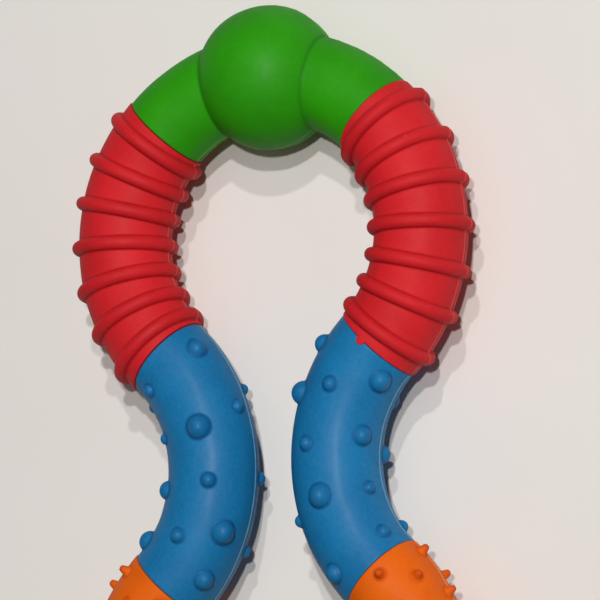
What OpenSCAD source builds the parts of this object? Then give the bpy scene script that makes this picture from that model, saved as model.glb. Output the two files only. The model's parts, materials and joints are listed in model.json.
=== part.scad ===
// A closed loop of eight quarter-turn tube segments that swivel against each other.
// Each segment is a rigid hollow core in two halves, covered by a textured rubber sleeve.
// A double-headed pin at each joint is trapped between the core halves of both segments.
// The loop lies flat: +Y is towards the top ball, +Z is up, the origin is under the middle.

/* [Loop] */
// Radius of every segment's centreline
bend_r = 48; // [44:0.5:56]
// Outside diameter of the sleeved tube
tube_d = 27; // [25:0.5:28]
// Outside diameter of the ball on a ball segment
ball_d = 43; // [38:0.5:46]

/* [Shells] */
// Thickness of the rubber sleeve
sleeve_t = 2.5; // [2.3:0.1:2.6]
// How far a ribbed sleeve stands proud of the plain tube
ribbed_proud = 0.4; // [0:0.1:0.6]
// How far a nubbed sleeve stands proud of the plain tube
nubbed_proud = 0.3; // [0:0.1:0.6]
// Wall of the rigid core
core_t = 2; // [1.5:0.1:2.2]
// Space between a core and its sleeve
bond_gap = 0.05; // [0.03:0.01:0.1]

/* [Joints] */
// Gap between the end faces of two neighbouring segments
joint_gap = 0.4; // [0.3:0.05:0.8]
// Radius of a swivel pin's shaft
pin_r = 4; // [3:0.25:4.5]
// Radial play of a pin in its bores
pin_play = 0.05; // [0.03:0.01:0.08]
// Radius of a pin's heads
head_r = 6; // [5.5:0.25:6.5]
// Thickness of a pin's heads
head_t = 2.5; // [2:0.25:3]
// Play between a head and the end plate that it holds
head_play = 0.1; // [0.05:0.05:0.2]
// Thickness of the end plate that a pin passes through
plate_t = 3; // [2.5:0.25:3.5]
// Extra play at the pivot between the bottom ball and the right arm
closing_play = 0.4; // [0.4:0.05:0.6]

/* [Ribs] */
// Number of ribs around a ribbed segment
rib_count = 7; // [5:1:7]
// Angle along the bend from one rib to the next
rib_pitch = 13; // [11:0.5:13]
// Radius of a rib's round bead
rib_r = 2.1; // [1.8:0.1:2.2]

/* [Bumps] */
// How far a bump's centre lies below the sleeve's surface, in bump radii
bump_sink = 0.2; // [0.1:0.05:0.3]
// Twist of the bumps' pattern, in degrees around the tube per degree along the bend
bump_twist = 0.2; // [0:0.05:0.3]

/* [Nubs] */
// Number of rows of nubs around the tube
nub_rows = 10; // [8:2:12]
// Angle around the tube of the first row on the right sleeve; on the left it's one row further
nub_start = 6; // [0:1:18]
// Angle along the bend from one nub to the next in its row
nub_pitch = 13.5; // [12:0.5:14]
// Radius of a nub's base
nub_base_r = 1.7; // [1.4:0.1:1.8]
// Radius of a nub's blunt tip
nub_tip_r = 0.85; // [0.6:0.05:1]
// Height of a nub above the sleeve
nub_h = 2.6; // [2:0.1:3]
// Least distance from a nub's middle to the end of its sleeve
nub_margin = 3; // [2.5:0.1:3.5]

/* [Hidden] */
$fn = 64;
reach = 45;                       // a segment runs this many degrees each way from its middle
overrun = 2;                      // degrees that a raw tube runs on before its ends are trimmed
step = bend_r * sqrt(2);          // from the loop's middle to each bend's centre
mid_z = ball_d / 2;               // height of the centreline plane
tube_r = tube_d / 2;
core_r = tube_r - sleeve_t - bond_gap;
ball_core_r = ball_d / 2 - sleeve_t - bond_gap;
bore_r = pin_r + pin_play;
face_back = joint_gap / 2;        // from a joint's plane back to an end face
closing_back = face_back + closing_play / 2;
nub_root = 0.6;                   // depth of a nub's foot inside the sleeve
trim = 3 * tube_r;                // a block large enough to trim any end

GREEN = [0.17, 0.53, 0.08];
RED = [0.78, 0.11, 0.14];
BLUE = [0.12, 0.42, 0.66];
ORANGE = [0.9, 0.36, 0.04];
CORE = [0.85, 0.84, 0.8];
PIN = [0.93, 0.92, 0.88];

// Bumps on the upper half of a bumpy sleeve: degrees along the bend from its middle,
// degrees around the tube from the outside of the bend towards +Z, and radius.
UPPER_BUMPS = [
    [37, 45, 3], [36, 136, 2], [17, 22, 2], [13, 82, 3.7], [14, 149, 1.8], [-5, 71, 2.2],
    [-10, 147, 2.9], [-26, 90, 2.2], [-20, 36, 3.7], [-36, 150, 3.3], [-35, 30, 3],
];
// The same for the lower half, where the angle around the tube runs towards -Z.
LOWER_BUMPS = [
    [23, 16, 1.8], [-3, 25, 2.3], [-24, 29, 2.2], [35, 50, 3], [5, 70, 3.5], [-34, 68, 2],
    [-14, 92, 2], [26, 95, 2.5], [-28, 125, 3], [12, 130, 2], [34, 170, 2], [-3, 156, 2.8],
];

// Every segment: name, kind of sleeve, its bend's centre in steps, and the angle of its middle.
SEGMENTS = [
    ["top_green", "ball", [0, 1], 90],
    ["left_red", "ribbed", [0, 1], 180],
    ["left_blue", "bumpy", [-1, 0], 0],
    ["left_orange", "nubbed", [0, -1], 180],
    ["bottom_green", "ball", [0, -1], 270],
    ["right_orange", "nubbed", [0, -1], 0],
    ["right_blue", "bumpy", [1, 0], 180],
    ["right_red", "ribbed", [0, 1], 0],
];

// Every joint's pin: name, its place as the segment and the end (+1 or -1) that hold it.
PINS = [
    ["green_red_left_pin", 0, 1],
    ["red_blue_left_pin", 1, 1],
    ["blue_orange_left_pin", 2, -1],
    ["orange_green_left_pin", 3, 1],
    ["orange_green_right_pin", 4, 1],
    ["blue_orange_right_pin", 6, 1],
    ["red_blue_right_pin", 7, -1],
    ["green_red_right_pin", 0, -1],
];
CLOSING_PIN = "orange_green_right_pin";

// Outside radius of a sleeve's plain tube.
function outer_r(kind) =
    tube_r + (kind == "ribbed" ? ribbed_proud : kind == "nubbed" ? nubbed_proud : 0);

// Distance along a sleeve's surface from a place on it to the nearer end.
function to_end(along, around) =
    (reach - abs(along)) * PI / 180 * (bend_r + outer_r("nubbed") * cos(around));

function sleeve_color(kind) =
    kind == "ball" ? GREEN : kind == "ribbed" ? RED : kind == "bumpy" ? BLUE : ORANGE;

// How far back an end face lies: the closing joint's two faces stand further apart.
function back_of(name, end) =
    (name == "bottom_green" && end > 0) || (name == "right_orange" && end < 0)
        ? closing_back : face_back;

// Play added to the radius of one end's bore: only where the closing pin turns freely.
function extra_play(name, end) = name == "right_orange" && end < 0 ? closing_play : 0;

// Puts a segment, drawn about its bend's centre with its middle on +X, in its place.
module in_place(segment) {
    translate([segment[2].x * step, segment[2].y * step, mid_z])
        rotate([0, 0, segment[3]])
            children();
}

// Moves something drawn at the origin, facing out along +X, onto the tube's centreline.
module at_bend(along, around = 0) {
    rotate([0, 0, along])
        translate([bend_r, 0, 0])
            rotate([0, -around, 0])
                children();
}

// Solid curved tube, a little longer than a segment.
module tube(radius) {
    rotate([0, 0, -reach - overrun])
        rotate_extrude(angle = 2 * (reach + overrun))
            translate([bend_r, 0])
                circle(r = radius);
}

// Tube, with the ball at its middle on a ball segment.
module body(kind, radius, ball_radius) {
    tube(radius);
    if (kind == "ball")
        at_bend(0)
            sphere(r = ball_radius);
}

// The block beyond one end of a segment, from a plane a set distance back.
module beyond(end, back) {
    at_bend(end * reach)
        translate([-trim, end > 0 ? -back : back - trim, -trim])
            cube([2 * trim, trim, 2 * trim]);
}

// What lies beyond both ends of a segment.
module both_ends(name, extra = 0) {
    for (end = [-1, 1])
        beyond(end, back_of(name, end) + extra);
}

module ribs() {
    for (i = [0 : rib_count - 1])
        at_bend((i - (rib_count - 1) / 2) * rib_pitch)
            rotate([90, 0, 0])
                rotate_extrude()
                    translate([outer_r("ribbed"), 0])
                        circle(r = rib_r);
}

module bump(along, around, radius) {
    at_bend(along, around)
        translate([tube_r - bump_sink * radius, 0, 0])
            sphere(r = radius);
}

// The two bumpy sleeves are pulled on with opposite twists.
module bumps(twist) {
    for (b = UPPER_BUMPS)
        bump(b[0], b[1] + twist * b[0], b[2]);
    for (b = LOWER_BUMPS)
        bump(b[0], -b[1] + twist * b[0], b[2]);
}

module nub(along, around) {
    if (to_end(along, around) > nub_margin)
        at_bend(along, around)
            translate([outer_r("nubbed") - nub_root, 0, 0])
                rotate([0, 90, 0])
                    cylinder(h = nub_root + nub_h, r1 = nub_base_r, r2 = nub_tip_r);
}

// Staggered rows: even rows have a nub at the middle, odd rows start half a pitch away.
module nubs(start) {
    for (row = [0 : nub_rows - 1])
        for (i = [-3 : row % 2 == 0 ? 3 : 2])
            nub((i + (row % 2) / 2) * nub_pitch, start + row * 360 / nub_rows);
}

// Rubber sleeve: the only piece of a segment that shows.
module sleeve(name, kind) {
    on_left = name == "left_blue" || name == "left_orange";
    color(sleeve_color(kind))
        difference() {
            union() {
                body(kind, outer_r(kind), ball_d / 2);
                if (kind == "ribbed")
                    ribs();
                if (kind == "bumpy")
                    bumps(on_left ? -bump_twist : bump_twist);
                if (kind == "nubbed")
                    nubs(on_left ? nub_start + 360 / nub_rows : nub_start);
            }
            body(kind, tube_r - sleeve_t, ball_d / 2 - sleeve_t);
            both_ends(name);
        }
}

// One half of the rigid core, split on the centreline plane, with an end plate at each end.
module core_half(name, kind, side) {
    color(CORE)
        difference() {
            body(kind, core_r, ball_core_r);
            difference() {
                body(kind, core_r - core_t, ball_core_r - core_t);
                both_ends(name, plate_t);
            }
            both_ends(name);
            for (end = [-1, 1])
                at_bend(end * reach)
                    rotate([90, 0, 0])
                        cylinder(h = trim, r = bore_r + extra_play(name, end), center = true);
            translate([-trim, -2 * bend_r, side > 0 ? -trim : 0])
                cube([2 * trim + 2 * bend_r, 4 * bend_r, trim]);
        }
}

// Double-headed pin along the joint's axis, heads rounded off by a chamfer.
module pin(name) {
    closing = name == CLOSING_PIN;
    near = (closing ? closing_back : face_back) + plate_t + head_play;
    far = near + (closing ? closing_play : 0);
    bevel = 0.6;
    color(PIN)
        rotate([-90, 0, 0])
            rotate_extrude()
                polygon([
                    [0, -near - head_t],
                    [head_r - bevel, -near - head_t],
                    [head_r, -near - head_t + bevel],
                    [head_r, -near],
                    [pin_r, -near],
                    [pin_r, far],
                    [head_r, far],
                    [head_r, far + head_t - bevel],
                    [head_r - bevel, far + head_t],
                    [0, far + head_t],
                ]);
}

for (s = SEGMENTS) {
    in_place(s) sleeve(s[0], s[1]);
    in_place(s) core_half(s[0], s[1], 1);
    in_place(s) core_half(s[0], s[1], -1);
}
for (p = PINS)
    in_place(SEGMENTS[p[1]]) at_bend(p[2] * reach) pin(p[0]);
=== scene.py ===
"""Looks for a closed loop toy of eight swivelling tube segments in textured rubber sleeves.

Every sleeve is one closed mesh on a grid that runs along the bend (rows) and around the tube
(columns). Ribs, bumps and nubs are rounded profiles that the grid is bent over.
"""

import json
import math

import bpy
import numpy as np
from mathutils import Matrix, Vector


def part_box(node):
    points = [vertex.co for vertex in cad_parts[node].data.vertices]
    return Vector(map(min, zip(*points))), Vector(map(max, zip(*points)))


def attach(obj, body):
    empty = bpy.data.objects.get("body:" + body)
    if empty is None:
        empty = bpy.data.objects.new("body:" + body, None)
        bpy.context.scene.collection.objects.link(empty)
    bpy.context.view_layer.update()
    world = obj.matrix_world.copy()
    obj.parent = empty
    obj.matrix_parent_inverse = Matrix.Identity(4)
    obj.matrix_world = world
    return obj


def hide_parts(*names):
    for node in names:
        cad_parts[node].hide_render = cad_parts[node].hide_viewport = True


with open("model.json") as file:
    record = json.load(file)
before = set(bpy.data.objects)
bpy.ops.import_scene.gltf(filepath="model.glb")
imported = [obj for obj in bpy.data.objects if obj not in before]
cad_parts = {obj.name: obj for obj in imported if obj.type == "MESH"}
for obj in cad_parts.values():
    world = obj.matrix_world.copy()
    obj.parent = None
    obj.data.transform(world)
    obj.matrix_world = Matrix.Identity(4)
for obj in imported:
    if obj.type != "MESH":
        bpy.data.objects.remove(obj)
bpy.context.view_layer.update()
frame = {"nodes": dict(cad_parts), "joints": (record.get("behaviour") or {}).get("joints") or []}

MM = 0.001
TURN = 2 * math.pi

# ---------------------------------------------------------------------------------------
# Sizes, from the frame where it gives them
# ---------------------------------------------------------------------------------------
first_joint = next(j for j in frame["joints"] if j["name"] == "green_red_left_swivel")
ball_low, ball_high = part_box("top_green_sleeve")
core_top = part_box("left_blue_core_upper")[1].z

# Radius of every bend, distance from the loop's middle to a bend's centre, height of the
# centreline plane, and half the angle of a segment.
BEND_R = abs(first_joint["pos_m"][0]) * math.sqrt(2)
STEP = BEND_R * math.sqrt(2)
MID_Z = first_joint["pos_m"][2]
REACH = math.radians(45)

BALL_R = (ball_high.z - ball_low.z) / 2
SLEEVE_T = 2.5 * MM
CORE_GAP = 0.05 * MM
TUBE_R = core_top - MID_Z + SLEEVE_T + CORE_GAP

# How far an end face stands back from its joint's plane, and at the pivot that closes the loop.
FACE_BACK = 0.1 * MM
CLOSING_BACK = 0.18 * MM

# An end face: how far across it each of its rows is, and the radius and rows of its round rim.
FACE_SHARES = (0, 0.34, 0.67)
LIP_R = 0.33 * MM
LIP_ROWS = 6

# How far a sleeve of each kind stands proud of the plain tube, and its grid spacing.
PROUD = {"ball": 0.0, "ribbed": 0.4 * MM, "bumpy": 0.0, "nubbed": 0.3 * MM}
PITCH = {"ball": 0.42 * MM, "ribbed": 0.38 * MM, "bumpy": 0.36 * MM, "nubbed": 0.32 * MM}
INNER_PITCH = 2.5 * MM

# Ball: the fillet where it meets the tube, the width of the crease there, which is darkened with painted
# shade, and the number of points along its outline from which its rows are spread.
NECK_BLEND = 0.8 * MM
NECK_CREASE_W = 0.6 * MM
OUTLINE_POINTS = 3000

# Mould line: a thin ridge where the two mould halves met, on the centreline plane, with extra
# columns of the grid this far to each side of it. Its height varies by a share of itself, in the
# product of two waves along the bend.
FLASH_H = 0.28 * MM
FLASH_W = 0.2 * MM
FLASH_SIDE = 0.16 * MM
FLASH_VARIES = 0.2
FLASH_WAVES = (90, 37)

# Moulded rubber isn't quite even: each sleeve has a sum of seeded waves, with the ranges that
# their numbers along and around are drawn from.
UNEVEN_H = 0.012 * MM
UNEVEN_WAVES = 7
WAVES_ALONG = (6, 27)
WAVES_AROUND = (1, 6)

# Flash tab: a small tongue of rubber left where the right red sleeve's mould closed. It starts
# inside its sleeve's end, lies just clear of its neighbour and gets narrower and thinner. The two
# powers say how late its width and its thickness round off, and the last ring is just short of
# the tip.
TAB_AROUND = math.radians(90)
TAB_W = 3.4 * MM
TAB_T = 0.4 * MM
TAB_L = 1.6 * MM
TAB_ROOT = 0.8 * MM
TAB_CLEAR = 0.06 * MM
TAB_NARROWS = 0.35
TAB_THINS = 0.3
TAB_POWERS = (6, 8)
TAB_LAST = 0.98
TAB_RINGS = 12
TAB_SIDES = 16

# Every segment: name, kind, bend centre in steps, angle of its middle.
SEGMENTS = [
    ("top_green", "ball", (0, 1), 90),
    ("left_red", "ribbed", (0, 1), 180),
    ("left_blue", "bumpy", (-1, 0), 0),
    ("left_orange", "nubbed", (0, -1), 180),
    ("bottom_green", "ball", (0, -1), 270),
    ("right_orange", "nubbed", (0, -1), 0),
    ("right_blue", "bumpy", (1, 0), 180),
    ("right_red", "ribbed", (0, 1), 0),
]
# The pivot that closes the loop, as its two end faces: name, and which end along the bend.
CLOSING_FACES = [("bottom_green", 1), ("right_orange", -1)]

# Points on each arc of the profiles.
DOME_POINTS = 40
DOME_FOOT_POINTS = 16
CONE_POINTS = 12

# Ribs: evenly spread half-round rings with a fillet at their foot, where the rows are closer.
RIB_COUNT = 7
RIB_PITCH = math.radians(13)
RIB_R = 2.1 * MM
RIB_FILLET = 0.32 * MM
RIB_FOOT_PITCH = 0.12 * MM
RIB_CREASE_W = 0.26 * MM

# Bumps: degrees along the bend, degrees around the tube at the middle of the bend, from its
# outside towards +Z, and radius in mm. Both bumpy sleeves have these, twisted opposite ways by
# some degrees around for each degree along.
BUMPS = [
    (37, 45, 3), (36, 136, 2), (17, 22, 2), (13, 82, 3.7), (14, 149, 1.8), (-5, 71, 2.2),
    (-10, 147, 2.9), (-26, 90, 2.2), (-20, 36, 3.7), (-36, 150, 3.3), (-35, 30, 3),
    (23, -16, 1.8), (-3, -25, 2.3), (-24, -29, 2.2), (35, -50, 3), (5, -70, 3.5), (-34, -68, 2),
    (-14, -92, 2), (26, -95, 2.5), (-28, -125, 3), (12, -130, 2), (34, -170, 2), (-3, -156, 2.8),
]
BUMP_TWIST = {"left_blue": -0.2, "right_blue": 0.2}
# A bump is a ball sunk by a share of its radius.
BUMP_SINK = 0.2
BUMP_FILLET = 0.3 * MM
BUMP_SPREAD = 0.7 * MM

# Nubs: lines of them along the tube, each second line half a pitch on, with this many each way
# from the middle. A nub is left out where its sleeve's end is nearer than the margin.
NUB_ROWS = 10
NUBS_EACH_WAY = 3
NUB_PITCH = math.radians(13.5)
NUB_START = {"left_orange": math.radians(42), "right_orange": math.radians(6)}
NUB_MARGIN = 3 * MM
NUB_BASE_R = 1.7 * MM
NUB_TIP_R = 0.85 * MM
NUB_H = 2.6 * MM
NUB_TIP_ROUND = 0.35 * MM
NUB_FILLET = 0.5 * MM
NUB_SPREAD = 0.6 * MM

# Bumps and nubs draw the grid in from this spread past their foot, where they have a crease that is
# darkened with painted shade.
FOOT_CREASE_W = 0.32 * MM
NO_DISTANCE = 1e-9


# ---------------------------------------------------------------------------------------
# Rounded profiles: distance from a feature's middle, and height above the tube
# ---------------------------------------------------------------------------------------
def arc(centre, radius, start, end, count):
    """Points on a circular arc, from one angle to another, as rows of (x, z)."""
    a = np.linspace(start, end, count)
    return np.stack([centre[0] + radius * np.cos(a), centre[1] + radius * np.sin(a)], 1)


def dome(radius, sink, fillet):
    """Half profile of a ball sunk into a flat surface, with a rounded foot."""
    foot = math.sqrt((radius + fillet) ** 2 - (fillet + sink) ** 2)
    lean = math.atan2(fillet + sink, foot)
    top = arc((0, -sink), radius, math.pi / 2, lean, DOME_POINTS)
    root = arc((foot, fillet), fillet, lean + math.pi, 1.5 * math.pi, DOME_FOOT_POINTS)
    return np.vstack([top, root[1:]])


def blunt_cone(base, tip, height, tip_round, fillet):
    """Half profile of a blunt cone with a rounded tip and a rounded foot."""
    slope = math.atan2(height, base - tip)
    tip_x = tip - tip_round * math.tan(slope / 2)
    foot_x = base + fillet * math.tan(slope / 2)
    top = arc((tip_x, height - tip_round), tip_round, math.pi / 2, math.pi / 2 - slope, CONE_POINTS)
    root = arc((foot_x, fillet), fillet, 1.5 * math.pi - slope, 1.5 * math.pi, CONE_POINTS)
    return np.vstack([[(0, height)], top, root])


def lengths(points):
    """Distance along a line of points, at each point."""
    return np.concatenate([[0], np.cumsum(np.hypot(*np.diff(points, axis=0).T))])


def resample(points, pitch):
    """The same line, with its points evenly spread."""
    length = lengths(points)
    at = np.linspace(0, length[-1], max(3, int(round(length[-1] / pitch)) + 1))
    return np.stack([np.interp(at, length, points[:, i]) for i in (0, 1)], 1)


def wrap(angle):
    """The same angle, between minus and plus half a turn."""
    return (angle + math.pi) % TURN - math.pi


def bell(distance, width):
    """1 at no distance, fading to 0 over about twice the width."""
    return np.exp(-((distance / width) ** 2))


# ---------------------------------------------------------------------------------------
# Sleeve grids: a row is a pair of arrays, the angle along the bend and the radius
# ---------------------------------------------------------------------------------------
def columns(pitch):
    """Angles around the tube, evenly spread, with extra ones on both sides of each mould line."""
    count = 2 * int(round(math.pi * TUBE_R / pitch))
    even = np.arange(count) * TURN / count
    beside = np.array([-FLASH_SIDE, FLASH_SIDE]) / TUBE_R
    return np.sort(np.concatenate([even, beside % TURN, math.pi + beside]))


def row_at(angle, offset, radius, around):
    """A row on a plane across the bend: parallel to the one at an angle, some way past it."""
    radius = np.broadcast_to(radius, around.shape)
    return angle + np.arcsin(offset / (BEND_R + radius * np.cos(around))), radius


def rows_between(first, last, pitch):
    """Rows that fill the space between two rows."""
    length = BEND_R * float(np.mean(np.abs(last[0] - first[0])))
    count = max(2, int(round(length / pitch)))
    steps = [i / count for i in range(1, count)]
    return [tuple(a + (b - a) * t for a, b in zip(first, last)) for t in steps]


def lip(end, back, radius, inner, around):
    """Rows from a sleeve's bore across its end face and round its rim."""
    rows = []
    for share in FACE_SHARES:
        across = inner + (radius - LIP_R - inner) * share
        rows.append(row_at(end * REACH, -end * back, across, around))
    for turn in np.linspace(math.pi / 2, 0, LIP_ROWS):
        depth = back + LIP_R * (1 - math.sin(turn))
        rows.append(row_at(end * REACH, -end * depth, radius - LIP_R * (1 - math.cos(turn)), around))
    return rows


def rib_middles():
    """Angle along the bend of every rib."""
    return [(i - (RIB_COUNT - 1) / 2) * RIB_PITCH for i in range(RIB_COUNT)]


def rib_rows(start, end, radius, around, pitch):
    """Rows over all ribs of a ribbed sleeve and over the plain tube between them."""
    outline = dome(RIB_R, 0, RIB_FILLET)
    crest = resample(outline[:DOME_POINTS], pitch)
    half = np.vstack([crest, resample(outline[DOME_POINTS - 1:], RIB_FOOT_PITCH)[1:]])
    profile = np.vstack([half[::-1] * (-1, 1), half[1:]])
    rows = [start]
    for middle in rib_middles():
        rib = [row_at(middle, x, radius + z, around) for x, z in profile]
        rows += rows_between(rows[-1], rib[0], pitch) + rib
    return rows[1:] + rows_between(rows[-1], end, pitch)


def ball_radius(along, around, radius):
    """Distance from the bend's centreline to a ball at its middle, or 0 past the ball."""
    lean = np.cos(around) * BEND_R * (1 - np.cos(along))
    room = lean**2 - 2 * BEND_R**2 * (1 - np.cos(along)) + radius**2
    return np.where(room > 0, np.sqrt(np.maximum(room, 0)) - lean, 0)


def soft_max(a, b, blend):
    """The larger of two numbers, blended over a short range where they meet."""
    near = np.maximum(blend - np.abs(a - b), 0) / blend
    return np.maximum(a, b) + near**2 * blend / 4


def ball_rows(start, end, radius, ball, around, pitch):
    """Rows over the tube and the ball at its middle, evenly spread along their outline."""
    span = np.linspace(float(np.max(start[0])), float(np.min(end[0])), OUTLINE_POINTS)
    height = np.maximum(radius, ball_radius(span, math.pi / 2, ball))
    length = lengths(np.stack([BEND_R * span, height], 1))
    at = np.linspace(0, length[-1], int(length[-1] / pitch))[1:-1]
    rows = []
    for angle in np.interp(at, length, span):
        along = np.full_like(around, angle)
        rows.append((along, soft_max(radius, ball_radius(along, around, ball), NECK_BLEND)))
    return rows


class Grid:
    """A sleeve's outer surface: angle along, angle around, radius, and masks for its looks: painted
    shade on raised parts and in creases, and the mould line with its painted highlight.
    """

    def __init__(self, rows, around, radius):
        self.along = np.array([r[0] for r in rows])
        self.radius = np.array([r[1] for r in rows])
        self.around = np.tile(around, (len(rows), 1))
        self.base = radius
        self.raised = np.zeros_like(self.along)
        self.crease = np.zeros_like(self.along)

    def raise_over(self, along, around, profile, reach):
        """Bends the grid over a round feature with this half profile."""
        foot = profile[-1, 0]
        tall = profile[0, 1]
        line = np.vstack([profile, [(reach, 0)]])
        share = lengths(line) / lengths(line)[-1]
        x = (BEND_R + self.base * np.cos(self.around)) * (self.along - along)
        y = self.base * wrap(self.around - around)
        distance = np.hypot(x, y)
        hit = distance < reach
        x, y, distance = x[hit], y[hit], distance[hit]
        wide = np.interp(distance / reach, share, line[:, 0])
        high = np.interp(distance / reach, share, line[:, 1])
        scale = wide / np.maximum(distance, NO_DISTANCE)
        radius = self.base + high
        self.around[hit] = around + y * scale / radius
        self.along[hit] = along + x * scale / (BEND_R + radius * np.cos(self.around[hit]))
        self.radius[hit] = radius
        # Masks for painted shade: the raised feature, and the crease at its foot.
        self.raised[hit] = np.maximum(self.raised[hit], high / tall)
        self.crease[hit] = np.maximum(self.crease[hit], bell(wide - foot, FOOT_CREASE_W))


def nub_places(start):
    """Angle along and around of every nub: each second row is half a pitch away."""
    for row in range(NUB_ROWS):
        around = start + row * TURN / NUB_ROWS
        odd = row % 2
        for i in range(-NUBS_EACH_WAY, NUBS_EACH_WAY + 1 - odd):
            along = (i + odd / 2) * NUB_PITCH
            bend = BEND_R + (TUBE_R + PROUD["nubbed"]) * math.cos(around)
            if (REACH - abs(along)) * bend > NUB_MARGIN:
                yield along, around


def outer_grid(name, kind, backs, around, radius):
    """The outer surface of a sleeve, from the bore at one end to the bore at the other."""
    pitch = PITCH[kind]
    inner = TUBE_R - SLEEVE_T
    first = lip(-1, backs[-1], radius, inner, around)
    last = lip(1, backs[1], radius, inner, around)[::-1]
    if kind == "ribbed":
        middle = rib_rows(first[-1], last[0], radius, around, pitch)
    elif kind == "ball":
        middle = ball_rows(first[-1], last[0], radius, BALL_R, around, pitch)
    else:
        middle = rows_between(first[-1], last[0], pitch)
    grid = Grid(first + middle + last, around, radius)
    if kind == "bumpy":
        for along, middle_turn, size in BUMPS:
            turn = math.radians(middle_turn + BUMP_TWIST[name] * along)
            profile = dome(size * MM, BUMP_SINK * size * MM, BUMP_FILLET)
            grid.raise_over(math.radians(along), turn, profile, profile[-1, 0] + BUMP_SPREAD)
    if kind == "nubbed":
        profile = blunt_cone(NUB_BASE_R, NUB_TIP_R, NUB_H, NUB_TIP_ROUND, NUB_FILLET)
        for along, turn in nub_places(NUB_START[name]):
            grid.raise_over(along, turn, profile, profile[-1, 0] + NUB_SPREAD)
    if kind == "ribbed":
        # Raised rib tops, darkened with painted shade in the colour.
        grid.raised = np.clip((grid.radius - radius) / RIB_R, 0, 1)
        # Creases at the ribs' feet, darkened with painted shade in the colour.
        foot = RIB_R + RIB_FILLET / 2
        for rib in rib_middles():
            away = np.abs(BEND_R + grid.radius * np.cos(grid.around)) * np.abs(grid.along - rib)
            grid.crease = np.maximum(grid.crease, bell(away - foot, RIB_CREASE_W))
    if kind == "ball":
        proud = ball_radius(grid.along, grid.around, BALL_R)
        # The raised ball, darkened a little with painted shade in the colour.
        grid.raised = np.clip((grid.radius - radius) / (BALL_R - radius), 0, 1)
        # The crease round the ball's neck, darkened with painted shade in the colour.
        grid.crease = bell(proud - radius, NECK_CREASE_W)
    return grid, len(first)


def settle(grid, rim, seed):
    """Adds the mould line (a ridge, and a mask for the painted highlight on it) and the slight
    unevenness of moulded rubber, fading out at both rims.
    """
    fade = np.ones(len(grid.along))
    fade[:rim] = 0
    fade[-rim:] = 0
    fade = fade[:, None]
    rng = np.random.default_rng(seed)
    uneven = np.zeros_like(grid.along)
    for _ in range(UNEVEN_WAVES):
        waves_along = rng.uniform(*WAVES_ALONG)
        waves_around = rng.integers(*WAVES_AROUND)
        phase = rng.uniform(0, TURN)
        uneven += np.sin(waves_along * grid.along + waves_around * grid.around + phase)
    side = np.minimum(np.abs(wrap(grid.around)), np.abs(wrap(grid.around - math.pi)))
    waves = np.sin(grid.along * FLASH_WAVES[0] + seed) * np.sin(grid.along * FLASH_WAVES[1])
    ragged = 1 - FLASH_VARIES + FLASH_VARIES * waves
    grid.flash = bell(side * grid.base, FLASH_W) * fade
    grid.radius = grid.radius + fade * (uneven * UNEVEN_H) + grid.flash * FLASH_H * ragged


def bore_rows(kind, backs, around):
    """Rows of a sleeve's bore, from its last end back to its first."""
    inner = TUBE_R - SLEEVE_T
    start = row_at(REACH, -backs[1], inner, around)
    end = row_at(-REACH, backs[-1], inner, around)
    if kind == "ball":
        return ball_rows(end, start, inner, BALL_R - SLEEVE_T, around, INNER_PITCH)[::-1]
    return rows_between(start, end, INNER_PITCH)


def on_bend(centre, along, around, radii):
    """Points in space, from angles along and around a bend and distances from its centreline."""
    out = BEND_R + radii * np.cos(around)
    return np.stack([
        centre[0] * STEP + out * np.cos(along),
        centre[1] * STEP + out * np.sin(along),
        MID_Z + radii * np.sin(around),
    ], 2)


def new_object(name, data):
    """A new object in the scene."""
    item = bpy.data.objects.new(name, data)
    bpy.context.scene.collection.objects.link(item)
    return item


def grid_mesh(name, position, wrapped):
    """A closed mesh from a grid of points whose rows and columns both join up."""
    rows, cols = position.shape[:2]
    index = np.arange(rows * cols).reshape(rows, cols)
    down, across = np.roll(index, -1, 0), np.roll(index, -1, 1)
    both = np.roll(down, -1, 1)
    quads = np.stack([index, across, both, down], 2).reshape(-1, 4)
    mesh = bpy.data.meshes.new(name)
    mesh.vertices.add(rows * cols)
    mesh.vertices.foreach_set("co", position.reshape(-1).astype(np.float32))
    mesh.loops.add(quads.size)
    mesh.loops.foreach_set("vertex_index", quads.reshape(-1).astype(np.int32))
    mesh.polygons.add(len(quads))
    mesh.polygons.foreach_set("loop_start", np.arange(0, quads.size, 4, dtype=np.int32))
    mesh.polygons.foreach_set("use_smooth", np.ones(len(quads), dtype=bool))
    mesh.update(calc_edges=True)
    for label, values in wrapped.items():
        layer = mesh.attributes.new(label, "FLOAT", "POINT")
        layer.data.foreach_set("value", values.reshape(-1).astype(np.float32))
    mesh.validate()
    return mesh


def make_sleeve(name, kind, centre, middle, seed, material):
    """One segment's rubber sleeve, in place of its plain CAD solid."""
    around = columns(PITCH[kind])
    radius = TUBE_R + PROUD[kind]
    backs = {end: CLOSING_BACK if (name, end) in CLOSING_FACES else FACE_BACK for end in (-1, 1)}
    grid, rim = outer_grid(name, kind, backs, around, radius)
    settle(grid, rim, seed)
    bore = bore_rows(kind, backs, around)
    along = np.vstack([grid.along, [r[0] for r in bore]]) + math.radians(middle)
    turn = np.vstack([grid.around, np.tile(around, (len(bore), 1))])
    radii = np.vstack([grid.radius, [r[1] for r in bore]])
    position = on_bend(centre, along, turn, radii)
    plain = np.zeros((len(bore), len(around)))
    masks = {k: np.vstack([getattr(grid, k), plain]) for k in ("raised", "crease", "flash")}
    piece = new_object(name + "_rubber", grid_mesh(name + "_rubber", position, masks))
    piece.data.materials.append(material)
    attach(piece, name)
    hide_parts(name + "_sleeve")
    return piece


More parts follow.
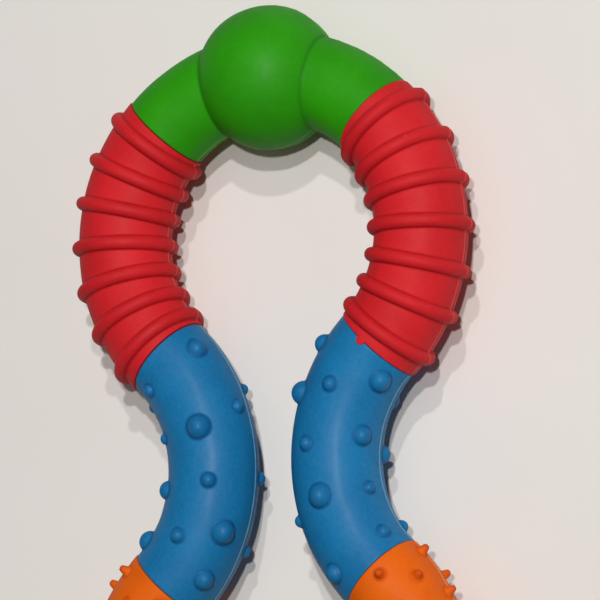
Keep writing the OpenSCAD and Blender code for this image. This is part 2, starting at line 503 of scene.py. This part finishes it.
def make_flash_tab(name, centre, middle, material):
    """A tongue of mould flash on a sleeve's first end, lying over its neighbour."""
    share = np.linspace(0, TAB_LAST, TAB_RINGS)[:, None]
    turn = np.arange(TAB_SIDES) * TURN / TAB_SIDES
    half_width = TAB_W / 2 * (1 - TAB_NARROWS * share) * np.sqrt(1 - share ** TAB_POWERS[0])
    half_thick = TAB_T / 2 * (1 - TAB_THINS * share) * np.sqrt(1 - share ** TAB_POWERS[1])
    around = TAB_AROUND + half_width * np.cos(turn) / TUBE_R
    radii = TUBE_R + TAB_CLEAR + TAB_T / 2 + half_thick * np.sin(turn)
    past = TAB_L * share - TAB_ROOT * (1 - share)
    along = middle - REACH - np.arcsin(past / (BEND_R + radii * np.cos(around)))
    position = on_bend(centre, along, around, radii)
    index = np.arange(TAB_RINGS * TAB_SIDES).reshape(TAB_RINGS, TAB_SIDES)
    after = np.roll(index, -1, 1)
    quads = np.stack([index[:-1], index[1:], after[1:], after[:-1]], 2).reshape(-1, 4)
    faces = [list(map(int, q)) for q in quads]
    faces += [list(map(int, index[0])), list(map(int, index[-1][::-1]))]
    mesh = bpy.data.meshes.new(name + "_flash_tab")
    mesh.from_pydata([tuple(map(float, p)) for p in position.reshape(-1, 3)], [], faces)
    mesh.polygons.foreach_set("use_smooth", [True] * len(faces))
    mesh.materials.append(material)
    piece = new_object(name + "_flash_tab", mesh)
    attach(piece, name)


# ---------------------------------------------------------------------------------------
# Materials
# ---------------------------------------------------------------------------------------
# Sockets of a Mix node that carry colours.
MIX_A, MIX_B, MIX_RESULT = 6, 7, 2

# Noise patterns: scale per metre, detail, roughness, and the noise values that become 0 and 1.
RUBBER_CLOUD = (55, 3, 0.55, 0.3, 0.7)
RUBBER_FLECK = (900, 3, 0.6, 0.35, 0.7)
RUBBER_MATT = (160, 3, 0.5, 0.3, 0.7)
PLASTIC_FLOW = (38, 4, 0.6, 0.3, 0.75)
PLASTIC_SPOT = (700, 1, 0.5, 0.62, 0.72)
PLASTIC_MATT = (240, 3, 0.5, 0.3, 0.7)
PAPER_TONE = (6, 4, 0.55, 0.3, 0.7)
PAPER_MATT = (90, 3, 0.5, 0.3, 0.7)

# Fine relief: noise scale per metre, detail and roughness, and the bump's strength.
RUBBER_GRAIN = (2600, 2, 0.6, 0.5)
RUBBER_RIPPLE = (210, 2, 0.5, 0.6)
PLASTIC_GRAIN = (1900, 3, 0.65, 0.5)
PAPER_GRAIN = (700, 3, 0.5, 0.25)
RUBBER_GRAIN_DEPTH = 0.02 * MM
RUBBER_RIPPLE_DEPTH = 0.05 * MM
PAPER_GRAIN_DEPTH = 0.05 * MM

# How strongly each pattern or mask shows in the colour.
CLOUD_SHARE = 0.3
FLECK_SHARE = 0.045
# The mould line's pale tint is a painted highlight along its ridge.
FLASH_HIGHLIGHT_SHARE = 0.9
DUST_SHARE = 0.55
FLOW_SHARE = 0.5
SPOT_SHARE = 0.12

# Dust on the rubber: cells for each metre, a speck's radius in cells, the share of the cells that
# have one, and its colour from 0 to 255.
DUST_SCALE = 95
DUST_SIZE = 0.022
DUST_CELLS = 0.35
DUST_COLOUR = (225, 220, 212)

# The paper's two tones, from 0 to 255.
PAPER_LIGHT = (228, 224, 220)
PAPER_DARK = (224, 220, 215)

# Gloss: how much the rubber's roughness varies and grows in creases, its skin and its index of
# refraction, and the others' specular levels and the paper's roughness.
MATT_VARIES = 0.12
CREASE_MATT = 0.12
SKIN_ROUGHNESS = 0.3
RUBBER_IOR = 1.36
PLASTIC_SHINE = 0.45
PAPER_SHINE = 0.25
PAPER_ROUGHNESS = (0.6, 0.72)


class Nodes:
    """Short calls to build a node material."""

    def __init__(self, name):
        self.material = bpy.data.materials.new(name)
        self.material.use_nodes = True
        self.tree = self.material.node_tree
        self.shader = self.tree.nodes["Principled BSDF"]
        self.place = self.add("ShaderNodeTexCoord").outputs["Object"]

    def add(self, kind, inputs=(), **settings):
        node = self.tree.nodes.new(kind)
        for key, value in settings.items():
            setattr(node, key, value)
        for key, value in dict(inputs).items():
            self.put(node.inputs[key], value)
        return node

    def put(self, socket, value):
        if isinstance(value, bpy.types.NodeSocket):
            self.tree.links.new(value, socket)
        else:
            socket.default_value = value

    def noise(self, scale, detail, rough):
        inputs = {"Vector": self.place, "Scale": scale, "Detail": detail, "Roughness": rough}
        return self.add("ShaderNodeTexNoise", inputs).outputs["Fac"]

    def pattern(self, spec, to_low=0.0, to_high=1.0):
        """A noise, stretched between two of its values."""
        scale, detail, rough, low, high = spec
        return self.remap(self.noise(scale, detail, rough), low, high, to_low, to_high)

    def relief(self, spec, depth, under=None):
        """A bump from a noise, over another bump or none."""
        *noise, strength = spec
        return self.bump(self.noise(*noise), strength, depth, under)

    def mask(self, label):
        return self.add("ShaderNodeAttribute", attribute_name=label).outputs["Fac"]

    def remap(self, value, low, high, to_low=0.0, to_high=1.0):
        inputs = {"Value": value, "From Min": low, "From Max": high, "To Min": to_low, "To Max": to_high}
        return self.add("ShaderNodeMapRange", inputs).outputs["Result"]

    def math(self, operation, a, b):
        return self.add("ShaderNodeMath", {0: a, 1: b}, operation=operation).outputs[0]

    def mix(self, share, a, b):
        node = self.add("ShaderNodeMix", data_type="RGBA")
        self.put(node.inputs[0], share)
        self.put(node.inputs[MIX_A], a)
        self.put(node.inputs[MIX_B], b)
        return node.outputs[MIX_RESULT]

    def tint(self, colour, mask, share, other):
        """A colour turned towards another one, by a share of a mask."""
        return self.mix(self.math("MULTIPLY", mask, share), colour, other)

    def bump(self, height, strength, distance, under):
        inputs = {"Height": height, "Strength": strength, "Distance": distance}
        if under is not None:
            inputs["Normal"] = under
        return self.add("ShaderNodeBump", inputs).outputs["Normal"]


def linear(red, green, blue):
    """A colour from sRGB display values between 0 and 255 to the shader's linear scale."""
    shares = [c / 255 for c in (red, green, blue)]
    return tuple(s / 12.92 if s <= 0.04045 else ((s + 0.055) / 1.055) ** 2.4 for s in shares) + (1.0,)


def dust(n):
    """Small specks with a soft outer half, in some of the cells round scattered points."""
    cells = n.add("ShaderNodeTexVoronoi", {"Vector": n.place, "Scale": DUST_SCALE}, feature="F1")
    near = n.remap(cells.outputs["Distance"], DUST_SIZE, DUST_SIZE / 2)
    picked = n.add("ShaderNodeSeparateColor", {"Color": cells.outputs["Color"]}).outputs[0]
    chosen = n.math("GREATER_THAN", picked, 1 - DUST_CELLS)
    return n.math("MULTIPLY", near, chosen)


def rubber(name, base, deep, pale, crease, top, matt, shine, skin):
    """Soft moulded rubber: cloudy colour, painted shade in creases and on raised parts, a pale painted
    highlight on the mould line, fine satin grain.
    """
    n = Nodes(name)
    colour = n.tint(base, n.pattern(RUBBER_CLOUD), CLOUD_SHARE, deep)
    colour = n.tint(colour, n.pattern(RUBBER_FLECK), FLECK_SHARE, pale)
    # Painted shade: creases are darkened towards the deep colour.
    colour = n.tint(colour, n.mask("crease"), crease, deep)
    # Painted shade: raised bumps, ribs, nubs and the ball are darkened towards the deep colour.
    colour = n.tint(colour, n.mask("raised"), top, deep)
    # Painted highlight: the mould line's ridge is tinted pale.
    colour = n.tint(colour, n.mask("flash"), FLASH_HIGHLIGHT_SHARE, pale)
    colour = n.tint(colour, dust(n), DUST_SHARE, linear(*DUST_COLOUR))
    n.put(n.shader.inputs["Base Color"], colour)
    rough = n.pattern(RUBBER_MATT, matt, matt + MATT_VARIES)
    in_crease = n.math("MULTIPLY", n.mask("crease"), CREASE_MATT)
    n.put(n.shader.inputs["Roughness"], n.math("ADD", rough, in_crease))
    grain = n.relief(RUBBER_GRAIN, RUBBER_GRAIN_DEPTH)
    n.put(n.shader.inputs["Normal"], n.relief(RUBBER_RIPPLE, RUBBER_RIPPLE_DEPTH, grain))
    n.shader.inputs["Specular IOR Level"].default_value = shine
    n.shader.inputs["Coat Weight"].default_value = skin
    n.shader.inputs["Coat Roughness"].default_value = SKIN_ROUGHNESS
    n.shader.inputs["IOR"].default_value = RUBBER_IOR
    return n.material


def plastic(name, base, deep, rough_low, rough_high, grain_depth):
    """Moulded plastic: faint flow clouds and a fine sparked mould grain."""
    n = Nodes(name)
    colour = n.tint(base, n.pattern(PLASTIC_FLOW), FLOW_SHARE, deep)
    colour = n.tint(colour, n.pattern(PLASTIC_SPOT), SPOT_SHARE, deep)
    n.put(n.shader.inputs["Base Color"], colour)
    n.put(n.shader.inputs["Roughness"], n.pattern(PLASTIC_MATT, rough_low, rough_high))
    n.put(n.shader.inputs["Normal"], n.relief(PLASTIC_GRAIN, grain_depth))
    n.shader.inputs["Specular IOR Level"].default_value = PLASTIC_SHINE
    return n.material


def paper(name):
    """Off-white backing sheet with a faint, uneven tone."""
    n = Nodes(name)
    colour = n.mix(n.pattern(PAPER_TONE), linear(*PAPER_LIGHT), linear(*PAPER_DARK))
    n.put(n.shader.inputs["Base Color"], colour)
    n.put(n.shader.inputs["Roughness"], n.pattern(PAPER_MATT, *PAPER_ROUGHNESS))
    n.put(n.shader.inputs["Normal"], n.relief(PAPER_GRAIN, PAPER_GRAIN_DEPTH))
    n.shader.inputs["Specular IOR Level"].default_value = PAPER_SHINE
    return n.material


# Every rubber: its plain colour, its deep colour (for its clouds and the painted shade), its pale colour
# (for its flecks and the painted highlight on its mould line), how much its creases and its raised parts
# are darkened with painted shade, its roughness, its specular level and the weight of its smooth outer
# skin.
RUBBERS = {
    "ball": dict(
        name="green_rubber",
        base=linear(40, 152, 0), deep=linear(18, 98, 0), pale=linear(108, 196, 76),
        crease=0.55, top=0.05, matt=0.56, shine=0.28, skin=0.03,
    ),
    "ribbed": dict(
        name="red_rubber",
        base=linear(210, 31, 39), deep=linear(148, 4, 12), pale=linear(236, 96, 92),
        crease=0.5, top=0.1, matt=0.58, shine=0.32, skin=0.0,
    ),
    "bumpy": dict(
        name="blue_rubber",
        base=linear(8, 115, 170), deep=linear(0, 70, 124), pale=linear(130, 192, 220),
        crease=0.8, top=0.2, matt=0.52, shine=0.34, skin=0.07,
    ),
    "nubbed": dict(
        name="orange_rubber",
        base=linear(231, 101, 0), deep=linear(186, 56, 0), pale=linear(252, 164, 84),
        crease=0.45, top=0.5, matt=0.54, shine=0.3, skin=0.0,
    ),
}

# The plastics: the two colours of each, the range of its roughness and its grain's depth.
PLASTICS = {
    "core": dict(
        name="core_plastic",
        base=linear(226, 223, 214), deep=linear(206, 202, 190),
        rough_low=0.46, rough_high=0.58, grain_depth=0.03 * MM,
    ),
    "pin": dict(
        name="pin_plastic",
        base=linear(238, 236, 228), deep=linear(222, 219, 208),
        rough_low=0.26, rough_high=0.36, grain_depth=0.012 * MM,
    ),
}


# ---------------------------------------------------------------------------------------
# The object
# ---------------------------------------------------------------------------------------
def make_sleeves():
    """Makes all eight sleeves, and the flash tab on the right red one."""
    materials = {kind: rubber(**spec) for kind, spec in RUBBERS.items()}
    for seed, (name, kind, centre, middle) in enumerate(SEGMENTS, start=1):
        piece = make_sleeve(name, kind, centre, middle, seed, materials[kind])
        if name == "right_red":
            make_flash_tab(name, centre, math.radians(middle), materials[kind])


def finish_plastics():
    """Gives the carried-over cores and pins their moulded plastics."""
    core = plastic(**PLASTICS["core"])
    pin = plastic(**PLASTICS["pin"])
    for name, node in frame["nodes"].items():
        if "_core_" in name or name.endswith("_pin"):
            material = pin if name.endswith("_pin") else core
            for item in node.material_slots:
                item.material = material


# ---------------------------------------------------------------------------------------
# The stage
# ---------------------------------------------------------------------------------------
# Half the width of the floor, in metres.
FLOOR = 12.0


def make_floor():
    """A wide flat sheet of pale paper that the loop lies on."""
    mesh = bpy.data.meshes.new("backing_sheet")
    corners = [(-FLOOR, -FLOOR, 0), (FLOOR, -FLOOR, 0), (FLOOR, FLOOR, 0), (-FLOOR, FLOOR, 0)]
    mesh.from_pydata(corners, [], [(0, 1, 2, 3)])
    sheet = new_object("backing_sheet", mesh)
    mesh.materials.append(paper("backing_paper"))


def area_light(name, place, size, power):
    """A square lamp that points at the origin."""
    data = bpy.data.lights.new(name, "AREA")
    data.shape = "SQUARE"
    data.size = size
    data.energy = power
    data.color = LAMP_TINT
    lamp = new_object(name, data)
    lamp.location = place
    lamp.rotation_euler = (-place).to_track_quat("-Z", "Y").to_euler()


# Each lamp: name, how far it leans towards +X and +Y for each unit of height, its width in metres
# and its power in watts. All are at the same distance from the origin.
LAMP_DISTANCE = 2.0
LAMP_TINT = (1.0, 0.99, 0.975)
LAMPS = [
    ("level_lamp", (0.345, 0.0), 0.05, 14),
    ("near_lamp", (0.34, 0.19), 0.05, 13.5),
    ("far_lamp", (0.285, 0.47), 0.05, 8.2),
]


# The studio's soft light: brightness at the horizon, from the sides and from straight above,
# with the heights (sines of the elevation) between which each turns into the next.
# The horizon is only a pale backdrop for the camera and lights nothing.
SKY_HORIZON = 0.62
SKY_SIDE = 0.06
SKY_TOP = 0.7
HORIZON_FADE = (0.04, 0.3)
TOP_RISE = (0.92, 1.0)
SKY_TINT = (0.99, 1.0, 0.995, 1)


def make_sky():
    """The soft light: two bands that are added, the lower one seen by the camera only."""
    world = bpy.data.worlds.new("studio")
    world.use_nodes = True
    tree = world.node_tree
    place = tree.nodes.new("ShaderNodeTexCoord")
    height = tree.nodes.new("ShaderNodeSeparateXYZ")
    tree.links.new(place.outputs["Generated"], height.inputs[0])
    rays = tree.nodes.new("ShaderNodeLightPath")
    total = tree.nodes.new("ShaderNodeMath")
    total.operation = "MULTIPLY_ADD"
    tree.links.new(rays.outputs["Is Camera Ray"], total.inputs[0])
    bands = [(HORIZON_FADE, SKY_HORIZON - SKY_SIDE, 0), (TOP_RISE, SKY_SIDE, SKY_TOP)]
    for slot, (span, low, high) in enumerate(bands, 1):
        band = tree.nodes.new("ShaderNodeMapRange")
        tree.links.new(height.outputs["Z"], band.inputs["Value"])
        for label, value in zip(("From Min", "From Max", "To Min", "To Max"), (*span, low, high)):
            band.inputs[label].default_value = value
        tree.links.new(band.outputs["Result"], total.inputs[slot])
    background = tree.nodes["Background"]
    background.inputs["Color"].default_value = SKY_TINT
    tree.links.new(total.outputs[0], background.inputs["Strength"])
    bpy.context.scene.world = world


def make_lamps():
    """Makes the lamps, whose overlapping shadows lie in bands."""
    for name, lean, size, power in LAMPS:
        direction = Vector((*lean, 1)).normalized()
        area_light(name, direction * LAMP_DISTANCE, size, power)


def show_plain_colours():
    """Shows colours as they are lit, without the softening of a film-like view."""
    bpy.context.scene.view_settings.view_transform = "Standard"


# The camera looks down from the right of the loop and a little from its lower end. The lens and
# the sensor are in mm, and the clips, the distance and the aim in metres.
AIM = (8.84 * MM, 48.62 * MM)
DISTANCE = 1.7744
LEAN_RIGHT = math.radians(23.62)
LEAN_DOWN = math.radians(7.0)
ROLL = math.radians(-0.92)
LENS = 360
SENSOR_W = 36
CLIPS = (0.05, 20)


def make_camera():
    """The camera at the photograph's viewing angle."""
    data = bpy.data.cameras.new("camera")
    data.lens = LENS
    data.sensor_width = SENSOR_W
    data.clip_start, data.clip_end = CLIPS
    camera = new_object("camera", data)
    back = Vector((
        math.sin(LEAN_RIGHT) * math.cos(LEAN_DOWN),
        -math.sin(LEAN_DOWN),
        math.cos(LEAN_RIGHT) * math.cos(LEAN_DOWN),
    ))
    right = Vector((0, 1, 0)).cross(back).normalized()
    right = Matrix.Rotation(ROLL, 3, back) @ right
    up = back.cross(right)
    turned = Matrix((right, up, back)).transposed().to_4x4()
    aim = Vector((AIM[0], AIM[1], MID_Z))
    camera.matrix_world = Matrix.Translation(aim + back * DISTANCE) @ turned
    bpy.context.scene.camera = camera


make_sleeves()
finish_plastics()
make_floor()
make_sky()
make_lamps()
show_plain_colours()
make_camera()
